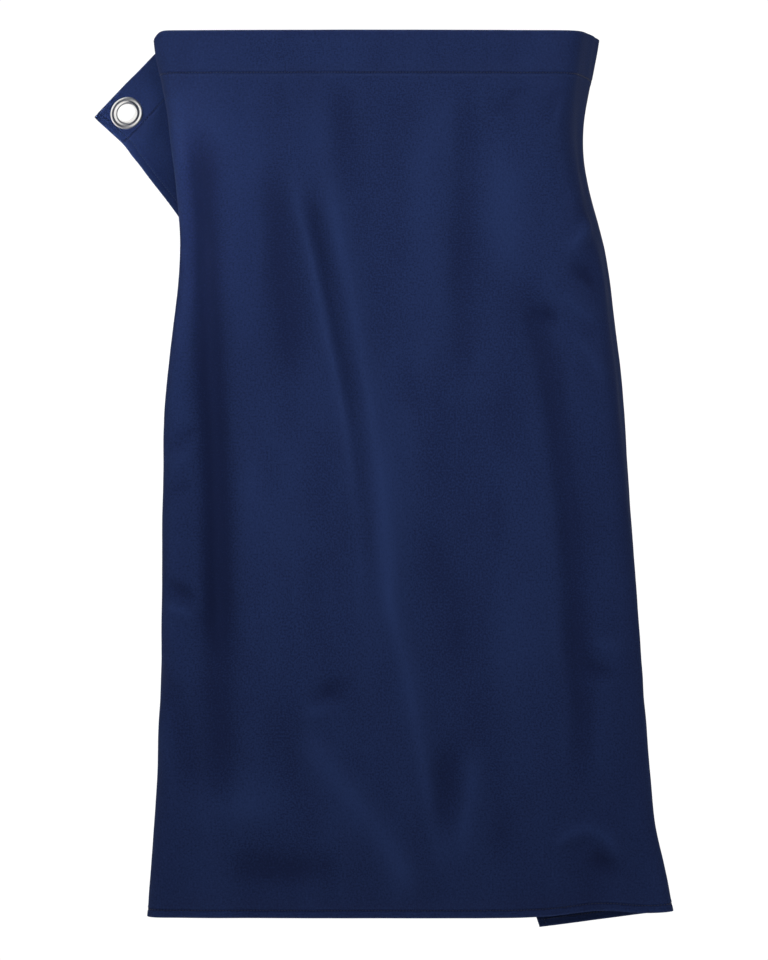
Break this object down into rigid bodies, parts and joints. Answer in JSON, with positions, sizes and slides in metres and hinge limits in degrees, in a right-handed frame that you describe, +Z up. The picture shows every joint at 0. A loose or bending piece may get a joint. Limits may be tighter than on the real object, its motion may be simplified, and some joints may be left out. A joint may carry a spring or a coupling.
{
  "type": "waist welding apron",
  "caption": "Long waist apron in plain dark-blue twill, wrapped round the hips, with a stitched waistband and hems and a metal eyelet in each top corner.",
  "frame": {"origin": "middle of the wearer's waist, half way up the waistband, 80 mm behind the front's outer face", "axes": "+X to the viewer's right seen from the front, +Y to the back, +Z up along the height of the apron"},
  "size_m": [0.531, 0.2237, 0.8153],
  "materials": {
    "twill": "matt navy flame-retardant cotton twill, outer face",
    "twill_inside": "matt navy cotton twill, turned-in face",
    "thread": "tonal navy spun sewing thread",
    "label": "blank woven satin care label",
    "nickel": "bright nickel-plated steel"
  },
  "bodies": {
    "front": {"front_panel": "twill", "waistband_front": "twill_inside", "bottom_hem_front": "twill_inside", "waist_thread_front": "thread", "hem_thread_front": "thread", "care_label": "label"},
    "left_wing": {"left_wing_panel": "twill", "waistband_left": "twill_inside", "bottom_hem_left": "twill_inside", "side_hem_left": "twill_inside", "waist_thread_left": "thread", "hem_thread_left": "thread", "side_thread_left": "thread", "eyelet_left": "nickel", "eyelet_washer_left": "nickel"},
    "right_wing": {"right_wing_panel": "twill", "waistband_right": "twill_inside", "bottom_hem_right": "twill_inside", "side_hem_right": "twill_inside", "waist_thread_right": "thread", "hem_thread_right": "thread", "side_thread_right": "thread", "eyelet_right": "nickel", "eyelet_washer_right": "nickel"}
  },
  "joints": [
    {"name": "left_wing_swing", "type": "hinge", "parent": "front", "child": "left_wing", "pos_m": [-0.212, 0, 0], "axis": [0, 0, 1], "range_deg": [-45, 90]},
    {"name": "right_wing_swing", "type": "hinge", "parent": "front", "child": "right_wing", "pos_m": [0.235, 0, 0], "axis": [0, 0, 1], "range_deg": [-100, 20]}
  ]
}
